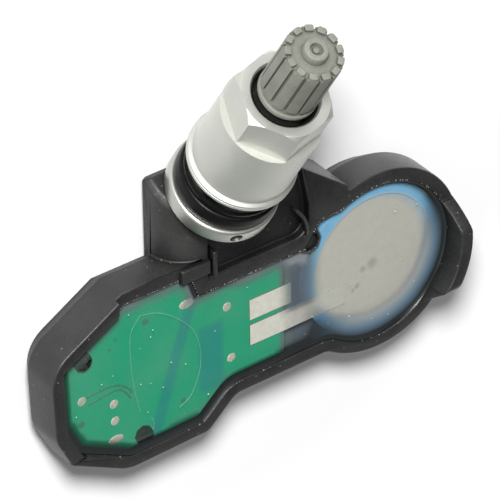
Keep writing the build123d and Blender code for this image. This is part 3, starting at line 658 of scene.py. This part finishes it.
bmesh.ops.create_cone(shape, cap_ends=True, segments=32, radius1=stemTurning["holeRadius"] * mm,
        radius2=stemTurning["holeRadius"] * mm, depth=2 * stemTurning["holeDepth"] * mm, matrix=seat)
carve(stem, meshFrom(shape, "drill"))
layOnValve(stem, 30)
hand(stem, "sensor", "valve_aluminium", "valve_stem")
print("stem turned")

# threads: a ridge that follows a right-hand helix
tree, given = startTree("threadRidge", Radius="Float", Pitch="Float", Turns="Float", Depth="Float")
rise = addNode(tree, "Math", {0: given["Pitch"], 1: given["Turns"]}, operation="MULTIPLY")
helix = addNode(tree, "GeometryNodeCurveSpiral", {"Resolution": 64, "Rotations": given["Turns"], "Height": rise,
        "Start Radius": given["Radius"], "End Radius": given["Radius"], "Reverse": True})
steady = addNode(tree, "GeometryNodeSetCurveNormal", {"Curve": helix}, mode="Z_UP")
ridge = addNode(tree, "GeometryNodeCurvePrimitiveCircle", {"Resolution": 4, "Radius": given["Depth"]}, mode="RADIUS")
swept = addNode(tree, "GeometryNodeCurveToMesh", {"Curve": steady, "Profile Curve": ridge, "Fill Caps": True})
threadTree = closeTree(tree, swept, given)
threads = {"stem_thread": (4.72, 1.0, 9.0, 0.28, 12.35), "mouth_thread": (3.64, 0.794, 9.6, 0.22, 31.7)}
for name, (radius, pitch, turns, depth, start) in threads.items():   # mm
    thread = growMesh(name, threadTree, bpy.data.meshes.new(name), {
        "Radius": radius * mm, "Pitch": pitch * mm, "Turns": turns, "Depth": depth * mm, "Finish": satinAluminium})
    layOnValve(thread, 40, start)
    hand(thread, "sensor", "valve_aluminium")
print("threads cut")

# rubber seal, thrust washer and dust ring
sealProfile = [(4.65, 2.9, 0), (7.85, 2.9, 0.3), (8.0, 4.3, 0.9), (7.75, 6.0, 0.5), (5.6, 6.0, 0.12), (5.6, 11.8, 0.3),
               (4.65, 12.0, 0)]
washerProfile = [(5.66, 6.05, 0), (7.45, 6.05, 0.35), (7.5, 7.0, 0.4), (7.2, 7.3, 0.25), (7.2, 7.9, 0.25),
                 (7.5, 8.3, 0.4), (7.5, 9.8, 0.3), (5.66, 9.8, 0)]
ringProfile = [(4.62, 27.7, 0.1), (5.03, 27.7, 0.1), (5.03, 29.3, 0.15), (4.62, 29.3, 0.15)]
valveRings = {"rubber_seal": (sealProfile, sealRubber, "sensor", "seal_rubber", "seal_grommet"),
              "washer_turning": (washerProfile, hardPlastic, "washer", "washer_black", "thrust_washer"),
              "dust_lip": (ringProfile, sealRubber, "nut", "seal_rubber", "dust_ring")}
for name, (profile, finish, body, slotName, stands) in valveRings.items():
    piece = pieceObject(name, turnMesh(name, profile), finish)
    layOnValve(piece, 35)
    hand(piece, body, slotName, stands)
print("seal, washer, dust ring")

# collar nut: turned barrel with a grooved base, then six flats milled on its upper part
nutTurning = {"low": 9.8, "height": 20.1, "hexStart": 13.9, "across": 13.0, "turn": 13.5,
              "millOut": 14.0}   # mm, degrees
n = nutTurning["low"]
top = n + nutTurning["height"]
nutProfile = [(5.8, n, 0), (8.1, n, 0), (8.26, n + 0.18, 0.06), (8.26, n + 0.62, 0.05), (8.12, n + 0.72, 0.04),
              (8.26, n + 0.82, 0.05), (8.26, n + 1.15, 0.08), (7.8, n + 1.42, 0.1), (7.68, n + 1.55, 0),
              (7.68, n + 19.0, 0), (6.7, top, 0.12), (5.3, top, 0.1), (5.05, n + 19.75, 0), (5.05, n + 2.8, 0),
              (5.8, n + 2.8, 0)]
nut = pieceObject("nut_turning", turnMesh("nut", nutProfile, 160), satinAluminium)
rays = [math.radians(nutTurning["turn"] + 60 * k) for k in range(6)]
shape = bmesh.new()
grid = [[shape.verts.new((radius * math.cos(a) * mm, radius * math.sin(a) * mm, z * mm)) for a in rays]
        for radius in (nutTurning["millOut"], nutTurning["across"] / math.sqrt(3))
        for z in (n + nutTurning["hexStart"], top + 2)]
for k in range(6):
    j = (k + 1) % 6
    for a, b in ((0, 1), (1, 3), (3, 2), (2, 0)):
        shape.faces.new((grid[a][k], grid[a][j], grid[b][j], grid[b][k]))
carve(nut, meshFrom(shape, "mill"))
layOnValve(nut, 14)
hand(nut, "nut", "valve_aluminium", "collar_nut")
print("nut", len(nut.data.polygons), "faces")

# cap: turned body, with ribs and crown lugs set round it
capMould = {"base": 30.4, "deck": 42.05, "inner": 40.5, "ribs": 13, "ribIn": 3.9, "ribOut": 4.42, "ribWidth": 1.76,
            "ribLow": 32.25, "lugIn": 3.4, "lugOut": 4.4, "lugTop": 42.5, "lugWidth": 1.3, "ease": 0.14}   # mm
b, d, inner = capMould["base"], capMould["deck"], capMould["inner"]
capProfile = [(3.92, b, 0), (4.4, b, 0.1), (4.5, b + 0.25, 0.1), (4.5, b + 0.85, 0.15), (4.2, b + 1.05, 0.1),
              (4.17, b + 1.6, 0), (4.17, d - 0.35, 0), (3.85, d, 0.2), (2.0, d, 0.15), (1.82, d + 1.38, 0.35),
              (1.02, d + 1.38, 0.1), (0.85, d + 0.85, 0.08), (0.55, d + 0.85, 0.06), (0.48, d + 1.05, 0.06),
              (0, d + 1.05, 0), (0, inner, 0), (3.92, inner, 0)]
tree, given = startTree("capRibs", Geometry="Geometry", Count="Int", Step="Float")
centres = addNode(tree, "GeometryNodePoints", {"Count": given["Count"]})
index = addNode(tree, "GeometryNodeInputIndex")
angle = addNode(tree, "Math", {0: index, 1: given["Step"]}, operation="MULTIPLY")
facing = addNode(tree, "CombineXYZ", {"Z": angle})
placed = addNode(tree, "GeometryNodeInstanceOnPoints", {"Points": centres, "Instance": given["Geometry"],
        "Rotation": facing})
ribTree = closeTree(tree, placed, given)
w, low, high = capMould["ribWidth"] / 2, capMould["ribLow"], d - 0.1
ribLine = roundCorners([(-w, low, 0.5), (w, low, 0.5), (w, high, 0.1), (-w, high, 0.1)], 5)
w, low, high = capMould["lugWidth"] / 2, capMould["lugIn"], capMould["lugOut"]
lugLine = roundCorners([(-w, low, 0.15), (w, low, 0.15), (w, high, 0.3), (-w, high, 0.3)])
shape = loft([[(x, p.x, p.y) for p in ribLine] for x in (capMould["ribIn"], capMould["ribOut"])],
             [[(p.y, p.x, z) for p in lugLine] for z in (d - 0.5, capMould["lugTop"])])
tops = [e for e in shape.edges if all(abs(v.co.x - capMould["ribOut"] * mm) < 1e-7 for v in e.verts)
        or all(abs(v.co.z - capMould["lugTop"] * mm) < 1e-7 for v in e.verts)]
bmesh.ops.bevel(shape, geom=tops, offset=capMould["ease"] * mm, segments=3, profile=0.5, affect="EDGES",
                clamp_overlap=True)
bmesh.ops.rotate(shape, verts=shape.verts, cent=(0, 0, 0), matrix=Matrix.Rotation(math.pi / capMould["ribs"], 3, "Z"))
ribs = growMesh("cap_ribs", ribTree, meshFrom(shape, "rib"), {
    "Count": capMould["ribs"], "Step": 2 * math.pi / capMould["ribs"], "Finish": capPlastic})
cap = pieceObject("cap_moulding", turnMesh("capBody", capProfile), capPlastic)
for piece in (cap, ribs):
    layOnValve(piece, 35)
hand(cap, "cap", "cap_grey", "valve_cap")
hand(ribs, "cap", "cap_grey")
print("cap moulded")

# retaining screw in the back
screwEase = 0.12   # mm
screw = pieceObject("socket_screw", joinFlats(nodes["retaining_screw"].data), zincSteel)
easeEdges(screw, screwEase, 2, 35)
hand(screw, "sensor", "screw_steel", "retaining_screw")

# low domes for solder pads and specks, each with its own size
tree, given = startTree("domes", Geometry="Geometry", Segments="Int")
spread = addNode(tree, "GeometryNodeInputNamedAttribute", {"Name": "domeSize"}, data_type="FLOAT_VECTOR")
dome = addNode(tree, "GeometryNodeMeshUVSphere", {"Segments": given["Segments"], "Rings": 8, "Radius": 0.5})
placed = addNode(tree, "GeometryNodeInstanceOnPoints", {"Points": given["Geometry"], "Instance": dome, "Scale": spread})
domeTree = closeTree(tree, placed, given)


# the separate solids of a node, as boxes
def islandBoxes(nodeName):
    shape = bmesh.new()
    shape.from_mesh(nodes[nodeName].data)
    bmesh.ops.remove_doubles(shape, verts=shape.verts, dist=weldGap)
    left, boxes = set(shape.verts), []
    while left:
        todo, group = [left.pop()], []
        while todo:
            v = todo.pop()
            group.append(v.co.copy())
            for e in v.link_edges:
                w = e.other_vert(v)
                if w in left:
                    left.remove(w)
                    todo.append(w)
        boxes.append([Vector(map(end, zip(*group))) for end in (min, max)])
    shape.free()
    return sorted(boxes, key=lambda box: tuple(box[0]))


# tinned pads where the CAD has them, moulding burrs along the rim whose pale colour is a painted glint, dust on the
# resin, plated holes in the board
padDome = {"sunk": 0.03, "height": 0.24}   # mm
burr = {"seed": 7, "size": (0.12, 0.3), "height": 0.1, "back": 0.15, "over": 0.5,
        "upperWall": 0.5, "elsewhere": 0.12}   # mm, chances
dustSpeck = {"count": 32, "x": (-0.058, 0.012), "y": (-0.018, 0.016), "clear": 1.6, "size": (0.1, 0.24),
             "height": 0.08}   # x and y in m, the rest in mm
boardHole = {"height": 0.06, "spots": ((-46.0, 5.2, 0.5), (-47.1, 3.8, 0.5), (-47.0, 2.6, 0.4), (-40.7, 6.0, 1.3),
        (-52.4, -7.0, 1.2), (-34.4, -10.5, 0.9))}   # mm: x, y, width
rng = random.Random(burr["seed"])
boardTop = max(v.co.z for v in nodes["circuit_board"].data.vertices)
sunk = Vector((0, 0, padDome["sunk"] * mm))
pads = [((lo + hi) / 2 - sunk, (hi.x - lo.x, hi.y - lo.y, padDome["height"] * mm))
        for lo, hi in islandBoxes("test_pads")]
burrs, dust = [], []
for p, across in zip(wallLine, inward):
    if rng.random() < (burr["upperWall"] if across.y < -0.3 else burr["elsewhere"]):
        width = rng.uniform(*burr["size"]) * mm
        spot = p - across * burr["back"] * mm
        burrs.append(((spot.x, spot.y, resinTop + burr["over"] * mm), (width, width, burr["height"] * mm)))
while len(dust) < dustSpeck["count"]:
    q = Vector((rng.uniform(*dustSpeck["x"]), rng.uniform(*dustSpeck["y"])))
    if wellInside(q, dustSpeck["clear"]):
        width = rng.uniform(*dustSpeck["size"]) * mm
        dust.append(((q.x, q.y, resinTop), (width, width, dustSpeck["height"] * mm)))
holes = [((x * mm, y * mm, boardTop), (width * mm, width * mm, boardHole["height"] * mm))
         for x, y, width in boardHole["spots"]]
domes = {"solder_pads": (pads, 24, tinnedCopper, "pad_tin", "test_pads"),
         "rim_burrs": (burrs, 10, burrGlint, "black_nylon"), "resin_dust": (dust, 10, paleDust, "potting_resin"),
         "board_holes": (holes, 10, maskedCopper, "board_green")}
for name, (spots, segments, finish, *slots) in domes.items():
    spotMesh = bpy.data.meshes.new(name)
    spotMesh.from_pydata([place for place, size in spots], [], [])
    sizes = spotMesh.attributes.new("domeSize", "FLOAT_VECTOR", "POINT")
    for i, (place, size) in enumerate(spots):
        sizes.data[i].vector = size
    piece = growMesh(name, domeTree, spotMesh, {"Segments": segments, "Finish": finish})
    softShade(piece.data, 60)
    hand(piece, "sensor", *slots)
    print(name, len(spots))

# fine lines: masked tracks on the board and the flow mark left on the resin
tree, given = startTree("fineLines", Geometry="Geometry", Radius="Float")
course = addNode(tree, "GeometryNodeMeshToCurve", {0: given["Geometry"]})
eased = addNode(tree, "GeometryNodeCurveSplineType", {"Curve": course}, spline_type="CATMULL_ROM")
even = addNode(tree, "GeometryNodeResampleCurve", {"Curve": eased, "Length": 0.35 * mm}, mode="LENGTH")
section = addNode(tree, "GeometryNodeCurvePrimitiveCircle", {"Resolution": 8, "Radius": given["Radius"]})
wire = addNode(tree, "GeometryNodeCurveToMesh", {"Curve": even, "Profile Curve": section, "Fill Caps": True})
lineTree = closeTree(tree, wire, given)
trackCourses = (((-51.4, -2.6), (-46.7, -2.55), (-44.1, -4.1), (-43.5, -5.2)),
                ((-51.0, -4.0), (-46.4, -3.5), (-44.7, -4.5), (-43.7, -6.0)))   # mm
flowCourses = (((-42.2, 8.1), (-39.6, 7.5), (-37.0, 6.0), (-34.4, 3.6), (-32.6, 1.1), (-31.7, -2.3), (-31.8, -5.4),
                (-32.7, -8.1), (-33.8, -9.8), (-35.6, -10.8)),
               ((-42.2, 8.1), (-43.9, 5.5), (-44.0, 0.4), (-43.5, -4.3), (-42.7, -8.3)),
               ((-40.6, -10.5), (-40.2, -11.6), (-40.5, -12.6)))   # mm
fineLines = {"board_tracks": (boardTop, 0.16, maskedCopper, "board_green", trackCourses),
             "resin_flow_mark": (resinTop, 0.07, resinSkin, "potting_resin", flowCourses)}
for name, (height, radius, finish, slotName, courses) in fineLines.items():
    points, edges = [], []
    for line in courses:
        edges += [(len(points) + k, len(points) + k + 1) for k in range(len(line) - 1)]
        points += [(x * mm, y * mm, height) for x, y in line]
    lineMesh = bpy.data.meshes.new(name)
    lineMesh.from_pydata(points, edges, [])
    piece = growMesh(name, lineTree, lineMesh, {"Radius": radius * mm, "Finish": finish})
    softShade(piece.data, 60)
    hand(piece, "sensor", slotName)
print("specks and lines set")

# camera fitted to the photograph: far off with a long lens
cameraFit = {"eye": (-0.5828, 0.6595, 0.7761), "right": (0.8011, -0.0164, 0.5983), "up": (0.348, 0.826, -0.4433),
             "back": (-0.4869, 0.5634, 0.6675), "lens": 576, "sensor": 36}   # m, axes, mm
lens = bpy.data.cameras.new("camera")
lens.lens = cameraFit["lens"]
lens.sensor_width = cameraFit["sensor"]
lens.clip_start, lens.clip_end = 0.05, 20
camera = newObject("camera", lens)
axes = Matrix([cameraFit[way] for way in ("right", "up", "back")])
camera.matrix_world = Matrix.Translation(cameraFit["eye"]) @ axes.transposed().to_4x4()
scene.camera = camera


# 1 for rays that see the background itself, and the rays that reflect it
def sightRays(tree):
    path = addNode(tree, "LightPath").outputs
    seen = addNode(tree, "Math", {0: path["Is Camera Ray"], 1: path["Is Transmission Ray"]}, operation="MAXIMUM")
    return seen, path["Is Glossy Ray"]


# floor: white paper that keeps the shadow near the part, and a card to one side in the reflections
paperGlow = {"centre": (-0.022, 0.02, 0), "half": 4.0,
             "near": {"From Min": 0.055, "From Max": 0.1, "To Min": 0.04, "To Max": 0.3},
             "far": {"From Min": 0.1, "From Max": 0.4, "To Max": 0.7},
             "card": {"From Min": -0.045, "From Max": 0.03, "To Min": 0.12, "To Max": 1.0}}   # m, strength
half = paperGlow["half"]
floorMesh = bpy.data.meshes.new("floor")
floorMesh.from_pydata([(-half, -half, 0), (half, -half, 0), (half, half, 0), (-half, half, 0)], [], [(0, 1, 2, 3)])
floor = newObject("floor", floorMesh)
paper = bpy.data.materials.new("white_paper")
tree = bareTree(paper)
seen, glossy = sightRays(tree)
place = addNode(tree, "TexCoord").outputs["Object"]
away = addNode(tree, "VectorMath", {0: place, 1: paperGlow["centre"]}, operation="DISTANCE")
near = addNode(tree, "MapRange", {"Value": away, **paperGlow["near"]})
far = addNode(tree, "MapRange", {"Value": away, **paperGlow["far"]})
white = addNode(tree, "Math", {0: near, 1: far}, operation="ADD")
shown = addNode(tree, "Math", {0: seen, 1: white}, operation="MULTIPLY")
side = addNode(tree, "SeparateXYZ", {"Vector": place}).outputs["X"]
card = addNode(tree, "MapRange", {"Value": side, **paperGlow["card"]})
lift = addNode(tree, "Math", {0: glossy, 1: card, 2: shown}, operation="MULTIPLY_ADD")
matt = addNode(tree, "BsdfDiffuse", {"Color": (0.8, 0.8, 0.8, 1)})
glow = addNode(tree, "Emission", {"Color": (1, 1, 1, 1), "Strength": lift})
sheet = addNode(tree, "AddShader", {0: matt, 1: glow})
addNode(tree, "OutputMaterial", {"Surface": sheet})
floorMesh.materials.append(paper)

# world: white to the eye, dim on the part, with two soft cards in the reflections
skyCards = {"fill": 0.2, "key": ((-0.8, 0.5, 0.33), {"From Max": 0.8, "To Min": 0.05, "To Max": 0.85}),
            "front": ((0.316, -0.895, -0.316), {"From Min": 0.5, "From Max": 0.95, "To Max": 0.8})}
world = bpy.data.worlds.new("studio")
scene.world = world
tree = bareTree(world)
seen, glossy = sightRays(tree)
facing = addNode(tree, "TexCoord").outputs["Generated"]
softCards = []
for way, fading in (skyCards["key"], skyCards["front"]):
    along = addNode(tree, "VectorMath", {0: facing, 1: way}, operation="DOT_PRODUCT")
    softCards.append(addNode(tree, "MapRange", {"Value": along, **fading}, **smooth))
both = addNode(tree, "Math", {0: softCards[0], 1: softCards[1]}, operation="ADD")
shine = addNode(tree, "Math", {0: glossy, 1: both, 2: skyCards["fill"]}, operation="MULTIPLY_ADD")
level = addNode(tree, "Math", {0: seen, 1: shine}, operation="MAXIMUM")
sky = addNode(tree, "Background", {"Color": (1, 1, 1, 1), "Strength": level})
addNode(tree, "OutputWorld", {"Surface": sky})

# one soft lamp from behind on the left
keyLamp = {"spot": (-0.51, 0.855, 0.715), "aim": (-0.02, 0.02, 0.01), "size": 0.26, "power": 26.5}   # m, W
lamp = bpy.data.lights.new("key", "AREA")
lamp.shape = "DISK"
lamp.size = keyLamp["size"]
lamp.energy = keyLamp["power"]
holder = newObject("key", lamp)
holder.location = keyLamp["spot"]
holder.rotation_euler = (Vector(keyLamp["aim"]) - holder.location).to_track_quat("-Z", "Y").to_euler()
scene.view_settings.view_transform = "Standard"
print("studio set")
